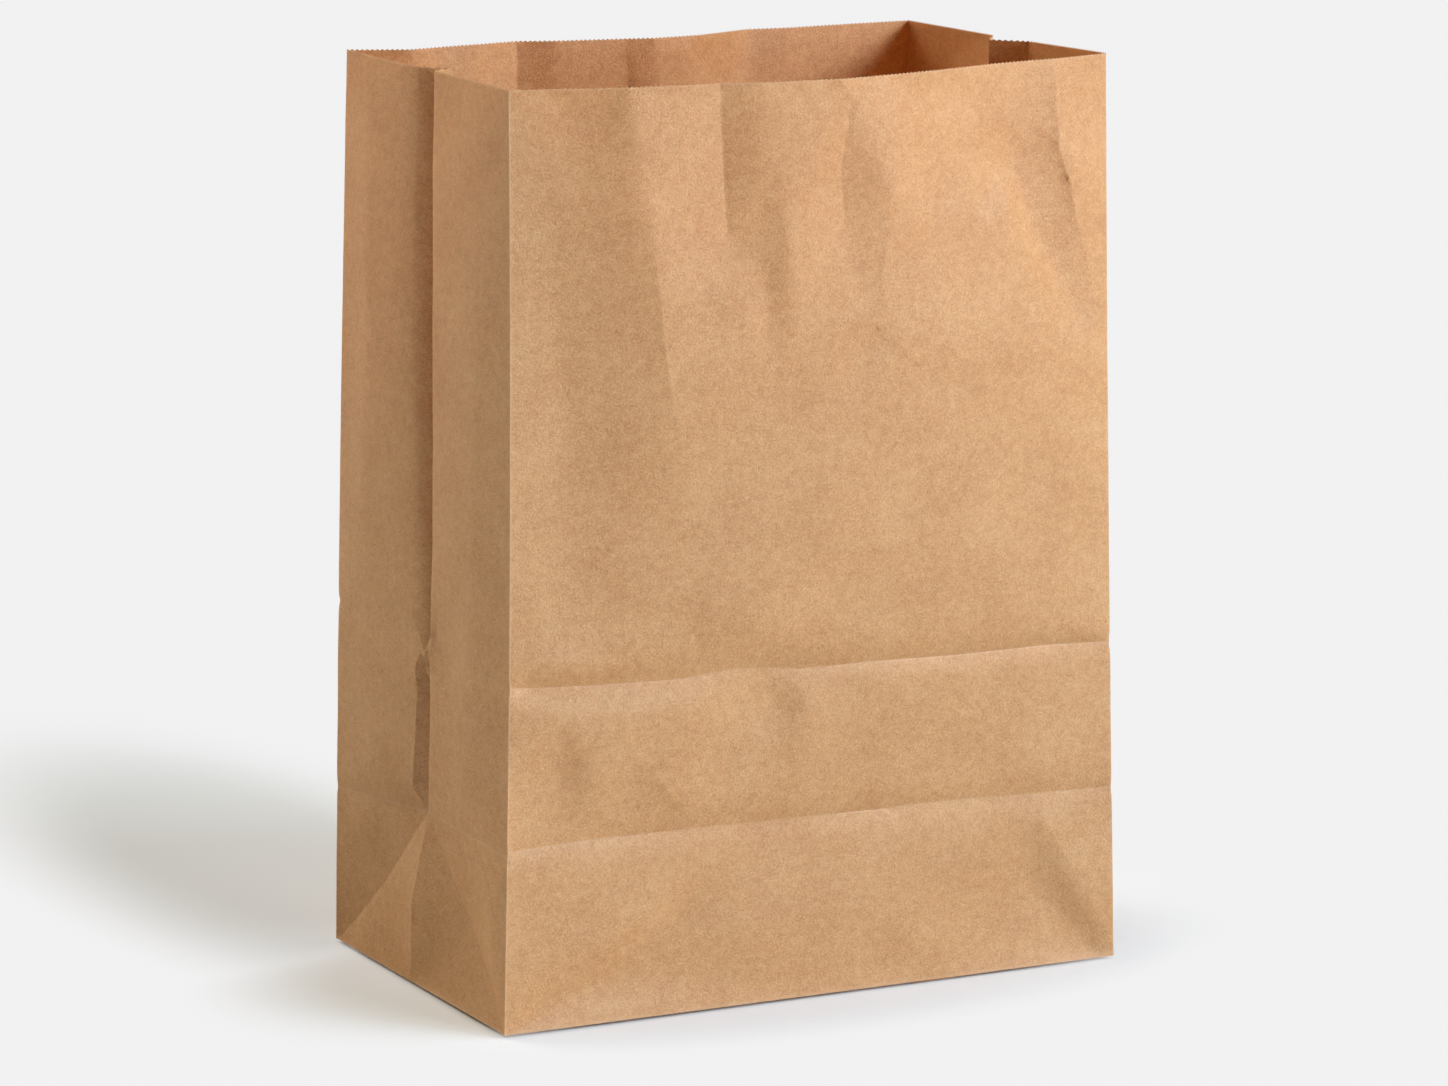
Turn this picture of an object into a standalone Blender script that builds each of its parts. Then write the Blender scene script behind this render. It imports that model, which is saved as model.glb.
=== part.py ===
"""A brown kraft paper bag that stands open: one glued tube of paper with two side gussets, a folded
block base and a pinked rim. Metres, +Z up, the front panel faces -Y, and the origin is the middle of
the base where it rests."""

import math

import bmesh
import bpy
from mathutils import Vector
from mathutils.geometry import delaunay_2d_cdt

# The open bag, outside to outside.
BAG_WIDTH = 0.208
BAG_DEPTH = 0.118
BAG_HEIGHT = 0.282
PAPER = 0.00014

# The saw-toothed edge that the knife leaves at both ends of the tube.
TOOTH_PITCH = 0.0015
TOOTH_DEPTH = 0.00045

# Heights of the two creases that cross the lower part: the one the base folds up on, and the mark that
# the folded base's edge pressed into the front panel.
BASE_CREASE = 0.0565
PRESSED_CREASE = 0.1035

# How far each of the two glued base flaps runs past the middle of the base.
BASE_LAP = 0.012

# The tube's glued seam, down the back panel.
SEAM_LAP = 0.016
SEAM_FROM_SIDE = 0.045
SEAM_EDGE_RUN = 0.0001
SEAM_SETTLE = 0.008
SEAM_FOOT = 0.004

# How far the front panel bows out at the rim, and how deep the gussets' centre folds are tucked in.
FRONT_BOW = 0.017
LEFT_TUCK = 0.0075
RIGHT_TUCK = 0.0096
BASE_TUCK = 0.0026

# Where the open rim's corners stand from straight above the base's corners (to +X, to +Y).
RIM_SHIFT = {
    "front_left": (0.0013, 0.0),
    "front_right": (-0.0058, 0.0032),
    "back_right": (-0.0079, 0.0037),
    "back_left": (0.0019, -0.0020),
}
CORNER_SIDES = {
    "front_left": (-1, -1),
    "front_right": (1, -1),
    "back_right": (1, 1),
    "back_left": (-1, 1),
}

# Heights at which the panels share points along the four upright edges, as shares of the way from the
# pressed crease to the rim.
EDGE_STEPS = (0.0, 0.2, 0.4, 0.57, 0.75, 0.88, 1.0)

# How near, in millimetres, the cut of a flat panel takes two of its points for one.
SAME_CUT = 1e-5

MM = 0.001
KRAFT_BROWN = (0.62, 0.34, 0.15, 1.0)

# A fold sharper than this shows as an edge, and a flatter one is shaded smooth.
SHARP_FOLD = math.radians(12)

# Points nearer than this are one point, and places on a panel nearer than this are one place.
SAME_POINT = 0.000002
SAME_PLACE = 1e-7
NO_LENGTH = 1e-9
NO_AREA = 1e-12


def below(share):
    """A height between the base and its crease."""
    return share * BASE_CREASE


def between(share):
    """A height between the base's crease and the pressed crease."""
    return BASE_CREASE + share * (PRESSED_CREASE - BASE_CREASE)


def above(share):
    """A height between the pressed crease and the rim."""
    return PRESSED_CREASE + share * (BAG_HEIGHT - PRESSED_CREASE)


EDGE_HEIGHTS = [0.0, BASE_CREASE] + [above(step) for step in EDGE_STEPS]


def corner(name, height):
    """The point of an upright edge at a height, in the middle of the paper's thickness."""
    side_x, side_y = CORNER_SIDES[name]
    shift_x, shift_y = RIM_SHIFT[name]
    rise = height / BAG_HEIGHT
    return Vector((
        side_x * (BAG_WIDTH - PAPER) / 2 + shift_x * rise,
        side_y * (BAG_DEPTH - PAPER) / 2 + shift_y * rise,
        height,
    ))


def front_bow(share, height):
    """The open mouth lets the front panel belly out, most at the rim and not at all at the base."""
    if height <= BASE_CREASE:
        return 0.0
    rise = (height - BASE_CREASE) / (BAG_HEIGHT - BASE_CREASE)
    return FRONT_BOW * rise**0.8 * 4 * share * (1 - share)


def no_bow(share, height):
    return 0.0


# Each crease is a list of (share of the panel's width, height, how far it stands out), and the paper
# between creases is flat facets.
FRONT_CREASES = [
    # The crease that the base folds up on, with the small pleat where two runs of it meet.
    [(0.0, below(1), 0), (0.15, below(1), -0.6 * MM), (0.28, below(1), -0.8 * MM),
     (0.31, below(0.98), -0.2 * MM), (0.47, below(1), -0.6 * MM), (0.62, below(1), -0.9 * MM),
     (0.74, below(1), -0.5 * MM), (0.85, below(1), -0.6 * MM), (1.0, below(1), 0)],
    [(0.07, below(0.9), 0.2 * MM), (0.31, below(0.86), 0.4 * MM), (0.62, below(0.88), 0.4 * MM),
     (0.85, below(0.84), 0.6 * MM)],
    # The pressed crease, and the paper that turns out again on both sides of it.
    [(0.0, between(1), 0), (0.15, between(1), -1.0 * MM), (0.35, between(1), -1.0 * MM),
     (0.47, between(1), -1.3 * MM), (0.65, between(1), -0.9 * MM), (0.85, between(1), -0.9 * MM),
     (1.0, between(1), 0)],
    [(0.04, between(0.9), 0.1 * MM), (0.15, between(0.88), 0.1 * MM), (0.35, between(0.88), 0.1 * MM),
     (0.47, between(0.84), -0.2 * MM), (0.65, between(0.88), 0.1 * MM), (0.85, between(0.88), 0.2 * MM),
     (0.96, between(0.9), 0.1 * MM)],
    [(0.04, above(0.05), 0.1 * MM), (0.15, above(0.06), 0.2 * MM), (0.30, above(0.06), 0.2 * MM),
     (0.40, above(0.09), 0.2 * MM), (0.47, above(0.05), 0.3 * MM), (0.65, above(0.06), 0.2 * MM),
     (0.85, above(0.06), 0.2 * MM), (0.96, above(0.04), 0.1 * MM)],
    # Creases that rise from the base's corners, where the flaps pull on the panel.
    [(0.0, 0.0, 0), (0.15, below(0.24), -0.7 * MM), (0.21, below(0.35), -0.6 * MM),
     (0.33, below(0.74), 0.1 * MM)],
    [(1.0, 0.0, 0), (0.94, below(0.30), 0.9 * MM), (0.885, below(0.83), 0.9 * MM)],
    [(0.98, below(0.10), -0.5 * MM), (0.87, below(0.45), -0.8 * MM), (0.82, below(0.80), 0.0)],
    # Dents between the two creases.
    [(0.10, between(0.80), -0.2 * MM), (0.11, between(0.40), -0.8 * MM), (0.16, between(0.05), -0.7 * MM)],
    [(0.245, between(0.31), 0.5 * MM), (0.31, below(0.98), -0.2 * MM)],
    [(0.60, between(0.15), 0.5 * MM), (0.62, below(1), -0.9 * MM), (0.62, below(0.88), 0.4 * MM)],
    [(0.35, between(0.88), 0.1 * MM), (0.44, between(0.60), -0.7 * MM), (0.47, between(0.84), -0.2 * MM)],
    # The ridge down from the rim on the left, and the rim's curl beside it.
    [(0.17, above(1), 2.2 * MM), (0.20, above(0.86), 1.9 * MM), (0.226, above(0.73), 1.7 * MM),
     (0.231, above(0.63), 1.5 * MM), (0.238, above(0.53), 1.2 * MM), (0.256, above(0.40), 0.7 * MM)],
    [(0.05, above(1), 0.6 * MM), (0.05, above(0.97), 0.3 * MM), (0.13, above(0.96), 0.9 * MM),
     (0.17, above(1), 2.2 * MM)],
    # The strip that narrows from the rim down to a sharp point.
    [(0.31, above(1), -0.3 * MM), (0.315, above(0.87), -0.3 * MM), (0.325, above(0.75), -0.4 * MM)],
    [(0.38, above(1), 2.2 * MM), (0.355, above(0.87), 1.4 * MM), (0.325, above(0.75), -0.4 * MM)],
    [(0.325, above(0.75), -0.4 * MM), (0.395, above(0.67), 0.2 * MM), (0.413, above(0.57), 0.4 * MM)],
    [(0.445, above(0.80), 1.5 * MM), (0.443, above(0.65), 1.2 * MM), (0.42, above(0.54), 0.5 * MM)],
    # The kite-shaped dent under the rim, right of the middle.
    [(0.485, above(1), 1.9 * MM), (0.512, above(0.97), 1.0 * MM), (0.50, above(0.88), 0.1 * MM),
     (0.51, above(0.75), 0.0), (0.56, above(0.57), 0.3 * MM)],
    [(0.512, above(0.97), 1.0 * MM), (0.58, above(0.81), 2.1 * MM), (0.56, above(0.57), 0.3 * MM)],
    # The broad facet that falls away to the right, and the flatter one below it.
    [(0.68, above(1), -0.8 * MM), (0.68, above(0.95), -0.8 * MM), (0.72, above(0.74), -0.6 * MM),
     (0.825, above(0.73), -0.3 * MM), (0.827, above(0.615), 0.2 * MM), (0.70, above(0.62), 0.3 * MM),
     (0.72, above(0.74), -0.6 * MM)],
    # The long fold near the right edge: the trough, then the ridge.
    [(0.80, above(1), -0.7 * MM), (0.835, above(0.86), -0.8 * MM), (0.88, above(0.72), -0.5 * MM),
     (0.95, above(0.56), 0.0)],
    [(0.89, above(1), 1.3 * MM), (0.90, above(0.85), 1.5 * MM), (0.933, above(0.75), 1.2 * MM),
     (1.0, EDGE_HEIGHTS[5], 0)],
]
FRONT_POINTS = [
    (share, above(step), 0.0) for share in (0.08, 0.36, 0.5, 0.64, 0.78, 0.92) for step in (0.2, 0.38)
]
FRONT_POINTS += [(share, below(0.5), 0.0) for share in (0.5, 0.68)]

BACK_CREASES = [
    # Seen from outside, share 0 is the right-hand corner: three upright buckles that fade downwards.
    [(0.14, above(1), -1.0 * MM), (0.14, above(0.6), -0.5 * MM)],
    [(0.30, above(1), -1.3 * MM), (0.31, above(0.75), -0.8 * MM), (0.32, above(0.45), -0.3 * MM)],
    [(0.40, above(1), -8.5 * MM), (0.41, above(0.75), -5.5 * MM), (0.42, above(0.45), -2.5 * MM),
     (0.43, above(0.2), -0.5 * MM)],
    [(0.475, above(1), -9.0 * MM), (0.48, above(0.75), -5.5 * MM), (0.48, above(0.45), -2.3 * MM)],
    [(0.56, above(1), -7.5 * MM), (0.56, above(0.75), -4.2 * MM)],
    [(0.71, above(1), -1.0 * MM), (0.705, above(0.8), -0.8 * MM), (0.70, above(0.5), -0.4 * MM)],
    [(0.91, above(1), -6.0 * MM), (0.90, above(0.75), -3.2 * MM), (0.88, above(0.45), -1.0 * MM)],
    [(0.0, below(1), 0), (0.25, below(1), 0.4 * MM), (0.6, below(1), 0.4 * MM), (1.0, below(1), 0)],
]
BACK_POINTS = [(share, above(0.2), 0.6 * MM) for share in (0.15, 0.65, 0.85)]
BACK_POINTS += [(share, between(0.5), 0.8 * MM) for share in (0.3, 0.7)]
BACK_POINTS += [(share, below(0.5), 0.3 * MM) for share in (0.3, 0.7)]

# Each row of a gusset: height, how far its centre fold is in at that height as a share of the tuck,
# and where the shoulders stand on the back half and on the front half.
GUSSET_ROWS = [
    (above(1), 1.0, 0.415, 0.55),
    (above(0.88), 1.0, 0.41, 0.55),
    (above(0.75), 1.05, 0.41, 0.55),
    (above(0.57), 1.1, 0.375, 0.55),
    (above(0.40), 0.85, 0.42, 0.55),
    (above(0.20), 0.50, 0.46, 0.545),
    (above(0.03), 0.35, 0.475, 0.54),
    (between(0.80), 0.45, 0.475, 0.54),
    (between(0.40), 0.50, 0.465, 0.545),
]
SHOULDER_IN = 0.001


def gusset_creases(tuck, back_first):
    """The centre fold, the shoulders beside it, and the two base folds that meet at its foot."""
    fold, back_shoulder, front_shoulder = [], [], []
    for height, depth_share, back_at, front_at in GUSSET_ROWS:
        fold.append((0.5, height, -tuck * depth_share))
        shoulder_in = -SHOULDER_IN * depth_share
        back_shoulder.append((back_at if back_first else 1 - back_at, height, shoulder_in))
        front_shoulder.append((front_at if back_first else 1 - front_at, height, shoulder_in))
    peak = (0.5, below(1), -BASE_TUCK)
    return [
        fold + [peak],
        back_shoulder + [peak],
        front_shoulder + [peak],
        [(0.0, 0.0, 0), (0.25, below(0.5), 0.3 * MM), peak, (0.75, below(0.5), 0.3 * MM), (1.0, 0.0, 0)],
        [(0.0, below(1), 0), (0.25, below(1), 0.2 * MM), peak, (0.75, below(1), 0.2 * MM),
         (1.0, below(1), 0)],
        [peak, (0.46 if back_first else 0.54, 0.0, 0)],
    ]


def gusset_points():
    return [(share, above(step), 0.3 * MM) for share in (0.2, 0.8) for step in (0.15, 0.5, 0.8)]


def triangulate(points, edges, outline, output):
    """Points are (across, up) in metres. Returns the new points, their triangles and their sources."""
    flat = [Vector((x / MM, y / MM)) for x, y in points]
    verts, _, faces, sources, _, _ = delaunay_2d_cdt(flat, edges, outline, output, SAME_CUT)
    return [(v.x * MM, v.y * MM) for v in verts], faces, sources


class Relief:
    """How far a panel stands out at any place: flat facets between the creases."""

    def __init__(self, width, creases, points):
        self.width = width
        self.height_at = {}
        for share, height, out in [p for crease in creases for p in crease] + points:
            self.height_at[(round(share, 6), round(height, 9))] = out
        for height in EDGE_HEIGHTS:
            for share in (0.0, 1.0):
                self.height_at[(share, round(height, 9))] = 0.0
        keys = list(self.height_at)
        index = {key: i for i, key in enumerate(keys)}
        self.edges = set()
        for crease in creases:
            line = [(round(share, 6), round(height, 9)) for share, height, _ in crease]
            self.edges |= {(index[a], index[b]) for a, b in zip(line, line[1:])}
        self.points = keys
        flat = [(share * width, height) for share, height in keys]
        verts, faces, sources = triangulate(flat, list(self.edges), [], 0)
        outs = []
        for vert, source in zip(verts, sources):
            outs.append(self.height_at[keys[source[0]]] if source else self.where_creases_cross(vert))
        self.triangles = [[(verts[i], outs[i]) for i in face] for face in faces]

    def where_creases_cross(self, vert):
        """The nearest crease's own height, for a point that the triangulation adds on it."""
        place = Vector(vert)
        nearest = None
        for first, second in self.edges:
            (share_a, height_a), (share_b, height_b) = self.points[first], self.points[second]
            start = Vector((share_a * self.width, height_a))
            run = Vector((share_b * self.width, height_b)) - start
            along = min(1, max(0, (place - start).dot(run) / run.length_squared))
            gap = (start + run * along - place).length
            if nearest is None or gap < nearest[0]:
                out_a, out_b = self.height_at[self.points[first]], self.height_at[self.points[second]]
                nearest = (gap, out_a + (out_b - out_a) * along)
        return nearest[1]

    def at(self, share, height):
        across = share * self.width
        best, found = -1e9, 0.0
        for (a, out_a), (b, out_b), (c, out_c) in self.triangles:
            area = (b[0] - a[0]) * (c[1] - a[1]) - (c[0] - a[0]) * (b[1] - a[1])
            if abs(area) < NO_AREA:
                continue
            part_b = ((across - a[0]) * (c[1] - a[1]) - (c[0] - a[0]) * (height - a[1])) / area
            part_c = ((b[0] - a[0]) * (height - a[1]) - (across - a[0]) * (b[1] - a[1])) / area
            inside = min(part_b, part_c, 1 - part_b - part_c)
            if inside > best:
                best = inside
                found = out_a + part_b * (out_b - out_a) + part_c * (out_c - out_a)
        return found


class Panel:
    """One of the tube's four sides, from one upright edge to the next, anticlockwise seen from above."""

    def __init__(self, start, end, width, outward, bow, creases, points, seam=False):
        self.start, self.end, self.width = start, end, width
        self.outward, self.bow, self.seam = Vector(outward), bow, seam
        self.relief = Relief(width, creases, points)

    def place(self, share, height, out):
        middle = corner(self.start, height).lerp(corner(self.end, height), share)
        return middle + self.outward * (out + self.bow(share, height))

    def seam_lines(self):
        """Shares of the width at the seam's two free edges and where the upper layer settles again."""
        if not self.seam:
            return []
        outer = 1 - SEAM_FROM_SIDE / self.width
        inner = outer - SEAM_LAP / self.width
        run = SEAM_EDGE_RUN / self.width
        settled = inner - SEAM_SETTLE / self.width
        return [settled, inner - run, inner, outer, outer + run]

    def lift(self, share, height):
        """How much further out the seam's upper layer carries the outside and the inside of the wall."""
        lines = self.seam_lines()
        if not lines or height < SEAM_FOOT:
            return 0.0, 0.0
        settled, inner_low, inner_high, outer, outer_end = lines
        if share < settled + SAME_PLACE or share > outer_end - SAME_PLACE:
            return 0.0, 0.0
        if share < inner_low + SAME_PLACE:
            way = (share - settled) / (inner_low - settled) * PAPER
            return way, way
        return PAPER, 0.0

    def build(self, collect):
        """Lays this panel's triangles out flat, then hands each corner over as a point in space."""
        flap = (BAG_DEPTH / 2 + BASE_LAP) / self.width
        if flap < 0.5 and abs(self.outward.y) > 0.5:
            base = [0.0, flap, 1 - flap, 1.0]
        else:
            feet = [share for share, height in self.relief.points if height == 0 and 0 < share < 1]
            base = [0.0] + feet + [1.0]
        teeth = 2 * max(2, round(self.width / TOOTH_PITCH / 2) * 2)
        top = []
        for step in range(teeth + 1):
            drop = TOOTH_DEPTH if step % 2 else 0.0
            top.append((step / teeth, BAG_HEIGHT - drop))
        sides = [height for height in EDGE_HEIGHTS if 0 < height < BAG_HEIGHT - NO_LENGTH]
        loop = [(share, 0.0) for share in sorted(base)]
        loop += [(1.0, height) for height in sides]
        loop += top[::-1]
        loop += [(0.0, height) for height in sides[::-1]]
        points = list(loop)
        edges = []
        known = {(round(share, 6), round(height, 9)): i for i, (share, height) in enumerate(points)}

        def add(share, height):
            key = (round(share, 6), round(height, 9))
            if key not in known:
                known[key] = len(points)
                points.append((share, height))
            return known[key]

        def add_relief(share, height):
            if height > BAG_HEIGHT - NO_LENGTH:
                return loop.index(top[2 * round(share * teeth / 2)])
            return add(share, height)

        for a, b in self.relief.edges:
            first = add_relief(*self.relief.points[a])
            second = add_relief(*self.relief.points[b])
            if first != second:
                edges.append((first, second))
        for share, height in self.relief.points:
            add_relief(share, height)
        flat = [(share * self.width, height) for share, height in points]
        verts, faces, sources = triangulate(flat, edges, [list(range(len(loop)))], 1)
        placed = []
        for (across, height), source in zip(verts, sources):
            share = across / self.width
            if source:
                share, height = points[source[0]]
            out = self.relief.at(share, min(height, BAG_HEIGHT))
            placed.append(collect(self.place(share, height, out), self.lift(share, height)))
        return [[placed[i] for i in face] for face in faces]


PANELS = [
    Panel("front_left", "front_right", BAG_WIDTH, (0, -1, 0), front_bow, FRONT_CREASES, FRONT_POINTS),
    Panel("front_right", "back_right", BAG_DEPTH, (1, 0, 0), no_bow,
          gusset_creases(RIGHT_TUCK, False), gusset_points()),
    Panel("back_right", "back_left", BAG_WIDTH, (0, 1, 0), no_bow, BACK_CREASES, BACK_POINTS, seam=True),
    Panel("back_left", "front_left", BAG_DEPTH, (-1, 0, 0), no_bow,
          gusset_creases(LEFT_TUCK, True), gusset_points()),
]


def key_of(point):
    return tuple(round(value, 7) for value in point)


def pinked_line(start, end):
    """A straight cut as its saw teeth, from start to end, with the tips on the line's right."""
    run = end - start
    across = Vector((run.y, -run.x)).normalized()
    teeth = max(1, round(run.length / TOOTH_PITCH))
    points = []
    for step in range(2 * teeth + 1):
        point = start + run * (step / (2 * teeth))
        points.append(point - across * (TOOTH_DEPTH if step % 2 else 0.0))
    return points


def terraces(bm, regions, rim, rim_level, faces_up):
    """Flat regions at their own levels, joined to each other and to the rim's points by upright steps."""
    places = []

    def place_of(point):
        for index, known in enumerate(places):
            if (known - point).length < SAME_POINT:
                return index
        places.append(point.copy())
        return len(places) - 1

    made = {(place_of(vert.co.xy), rim_level): vert for vert in rim}
    levels = {place: {rim_level} for place, _ in made}
    shapes = [(level, [place_of(point) for point in outline]) for level, outline in regions]
    sides = {}
    outlines = []
    for level, shape in shapes:
        full = []
        for start, end in zip(shape, shape[1:] + shape[:1]):
            origin, run = places[start], places[end] - places[start]
            on_it = []
            for place, point in enumerate(places):
                along = (point - origin).dot(run) / run.length_squared
                if place == start or 0 < along < 1 and (origin + run * along - point).length < SAME_POINT:
                    on_it.append((along, place))
            full += [place for _, place in sorted(on_it) if place != end]
        outlines.append((level, full))
        for side in zip(full, full[1:] + full[:1]):
            sides[side] = level
        for place in full:
            levels.setdefault(place, set()).add(level)

    def vert(place, level):
        if (place, level) not in made:
            made[(place, level)] = bm.verts.new((places[place].x, places[place].y, level))
        return made[(place, level)]

    for level, outline in outlines:
        ring = [vert(place, level) for place in outline]
        bm.faces.new(ring if faces_up else ring[::-1])
    for (a, b), low in sides.items():
        high = sides.get((b, a), rim_level)
        if low >= high:
            continue
        up_b = [vert(b, level) for level in sorted(levels[b]) if low <= level <= high]
        up_a = [vert(a, level) for level in sorted(levels[a]) if low <= level <= high]
        ring = up_a[:1] + up_b + up_a[:0:-1]
        bm.faces.new(ring[::-1] if faces_up else ring)


def build_bag():
    positions, lifts, triangles = [], [], []
    known = {}

    def collect(point, lift):
        key = key_of(point)
        if key not in known:
            known[key] = len(positions)
            positions.append(point)
            lifts.append(lift)
        return known[key]

    for panel in PANELS:
        triangles += panel.build(collect)

    normals = [Vector() for _ in positions]
    around = [[] for _ in positions]
    for a, b, c in triangles:
        cross = (positions[b] - positions[a]).cross(positions[c] - positions[a])
        face_normal = cross.normalized()
        for i, j, k in ((a, b, c), (b, c, a), (c, a, b)):
            angle = (positions[j] - positions[i]).angle(positions[k] - positions[i])
            normals[i] += face_normal * angle
            around[i].append(face_normal)

    bm = bmesh.new()
    outside, inside = [], []
    outer_level, inner_level = 2 * PAPER, 3 * PAPER
    half_x, half_y = (BAG_WIDTH - PAPER) / 2, (BAG_DEPTH - PAPER) / 2
    for point, normal, faces, (lift_out, lift_in) in zip(positions, normals, around, lifts):
        if point.z < NO_LENGTH:
            step = Vector((
                math.copysign(1, point.x) if abs(point.x) > half_x - SAME_PLACE else 0,
                math.copysign(1, point.y) if abs(point.y) > half_y - SAME_PLACE else 0,
                0,
            )) * (PAPER / 2)
            outside.append(bm.verts.new(Vector((point.x, point.y, outer_level)) + step))
            inside.append(bm.verts.new(Vector((point.x, point.y, inner_level)) - step))
            continue
        direction = normal.normalized()
        lean = sum(direction.dot(face) for face in faces) / len(faces)
        if point.z > BAG_HEIGHT - 2 * TOOTH_DEPTH:
            direction.z = 0
        half = direction * (PAPER / 2 / max(lean, 0.5))
        outside.append(bm.verts.new(point + half + direction * lift_out))
        inside.append(bm.verts.new(point - half + direction * lift_in))

    counts = {}
    for a, b, c in triangles:
        bm.faces.new((outside[a], outside[b], outside[c]))
        bm.faces.new((inside[c], inside[b], inside[a]))
        for edge in ((a, b), (b, c), (c, a)):
            counts[edge] = counts.get(edge, 0) + 1
    for a, b in counts:
        if (b, a) in counts or (positions[a].z < NO_LENGTH and positions[b].z < NO_LENGTH):
            continue
        bm.faces.new((outside[b], outside[a], inside[a], inside[b]))

    low = [i for i, point in enumerate(positions) if point.z < NO_LENGTH]
    build_base_outside(bm, [outside[i] for i in low], outer_level)
    build_base_inside(bm, [inside[i] for i in low], inner_level)
    return bm


def build_base_outside(bm, rim, level):
    """From below: the front flap outermost with its pinked edge, the back flap under it, and at both
    ends the triangle of side flap that the diagonal folds leave open."""
    x, y = BAG_WIDTH / 2, BAG_DEPTH / 2
    reach = BAG_DEPTH / 2 + BASE_LAP
    cut = pinked_line(Vector((x - reach, BASE_LAP)), Vector((-x + reach, BASE_LAP)))
    front_left, front_right = Vector((-x, -y)), Vector((x, -y))
    back_left, back_right = Vector((-x, y)), Vector((x, y))
    left_point, right_point = Vector((-x + y, 0)), Vector((x - y, 0))
    regions = [
        (0.0, [front_left, front_right, right_point] + cut + [left_point]),
        (PAPER, [back_right, back_left, left_point] + cut[::-1] + [right_point]),
        (level, [front_left, left_point, back_left]),
        (level, [front_right, back_right, right_point]),
    ]
    terraces(bm, regions, rim, level, faces_up=False)


def build_base_inside(bm, rim, level):
    """From above: the two side flaps on top, and between their ends the overlapped long flaps."""
    x, y = BAG_WIDTH / 2 - PAPER, BAG_DEPTH / 2 - PAPER
    reach = BAG_WIDTH / 2 - (BAG_DEPTH / 2 + BASE_LAP) * (BAG_WIDTH - PAPER) / BAG_WIDTH - PAPER / 2
    cut = pinked_line(Vector((-reach, -BASE_LAP)), Vector((reach, -BASE_LAP)))
    regions = [
        (level, [Vector((-x, -y)), Vector((-reach, -y)), cut[0], Vector((-reach, y)), Vector((-x, y))]),
        (level, [Vector((reach, -y)), Vector((x, -y)), Vector((x, y)), Vector((reach, y)), cut[-1]]),
        (PAPER, [Vector((-reach, -y)), Vector((reach, -y))] + cut[::-1]),
        (2 * PAPER, cut + [Vector((reach, y)), Vector((-reach, y))]),
    ]
    terraces(bm, regions, rim, level, faces_up=True)


def kraft_paper():
    material = bpy.data.materials.new("kraft_paper")
    material.use_nodes = True
    shader = material.node_tree.nodes["Principled BSDF"]
    shader.inputs["Base Color"].default_value = KRAFT_BROWN
    shader.inputs["Roughness"].default_value = 0.85
    shader.inputs["Metallic"].default_value = 0.0
    return material


for old in list(bpy.data.objects):
    bpy.data.objects.remove(old, do_unlink=True)

bag_mesh = bpy.data.meshes.new("paper_bag")
paper = build_bag()
paper.to_mesh(bag_mesh)
paper.free()
bag_mesh.shade_smooth()
bag_mesh.set_sharp_from_angle(angle=SHARP_FOLD)
bag_mesh.materials.append(kraft_paper())
bag = bpy.data.objects.new("paper_bag", bag_mesh)
bpy.context.scene.collection.objects.link(bag)
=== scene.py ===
import math

import bpy
import numpy as np
from mathutils import Matrix, Vector, kdtree, noise
from mathutils.geometry import delaunay_2d_cdt


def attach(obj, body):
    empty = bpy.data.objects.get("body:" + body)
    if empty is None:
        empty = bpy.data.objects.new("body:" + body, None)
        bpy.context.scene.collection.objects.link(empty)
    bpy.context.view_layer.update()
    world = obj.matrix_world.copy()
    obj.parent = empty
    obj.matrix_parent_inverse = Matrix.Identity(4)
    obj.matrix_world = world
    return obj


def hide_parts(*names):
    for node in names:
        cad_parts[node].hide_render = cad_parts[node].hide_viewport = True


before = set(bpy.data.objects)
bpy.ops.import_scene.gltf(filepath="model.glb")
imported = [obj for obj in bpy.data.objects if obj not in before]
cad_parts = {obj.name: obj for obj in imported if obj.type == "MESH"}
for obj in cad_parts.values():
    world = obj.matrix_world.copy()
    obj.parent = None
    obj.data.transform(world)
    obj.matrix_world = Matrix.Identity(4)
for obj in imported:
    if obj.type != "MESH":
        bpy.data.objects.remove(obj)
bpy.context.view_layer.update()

# The view: a long lens a little above the bag's mouth, turned so that the front panel and the left
# gusset both show. Place in metres from the middle of the bag's foot.
camera_data = bpy.data.cameras.new("camera")
camera_data.sensor_width = 36
camera_data.lens = 142.8
camera = bpy.data.objects.new("camera", camera_data)
bpy.context.scene.collection.objects.link(camera)
camera_turn, camera_drop, camera_lean = math.radians(27.52), math.radians(11.51), math.radians(0.59)
forward = Vector((
    math.sin(camera_turn) * math.cos(camera_drop),
    math.cos(camera_turn) * math.cos(camera_drop),
    -math.sin(camera_drop),
))
level_right = Vector((math.cos(camera_turn), -math.sin(camera_turn), 0))
level_up = level_right.cross(forward)
right = math.cos(camera_lean) * level_right + math.sin(camera_lean) * level_up
up = right.cross(forward)
camera.matrix_world = Matrix.LocRotScale(
    Vector((-0.8014, -1.5361, 0.4825)), Matrix((right, up, -forward)).transposed().to_quaternion(), None)
bpy.context.scene.camera = camera
bpy.context.scene.view_settings.view_transform = "Standard"


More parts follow.
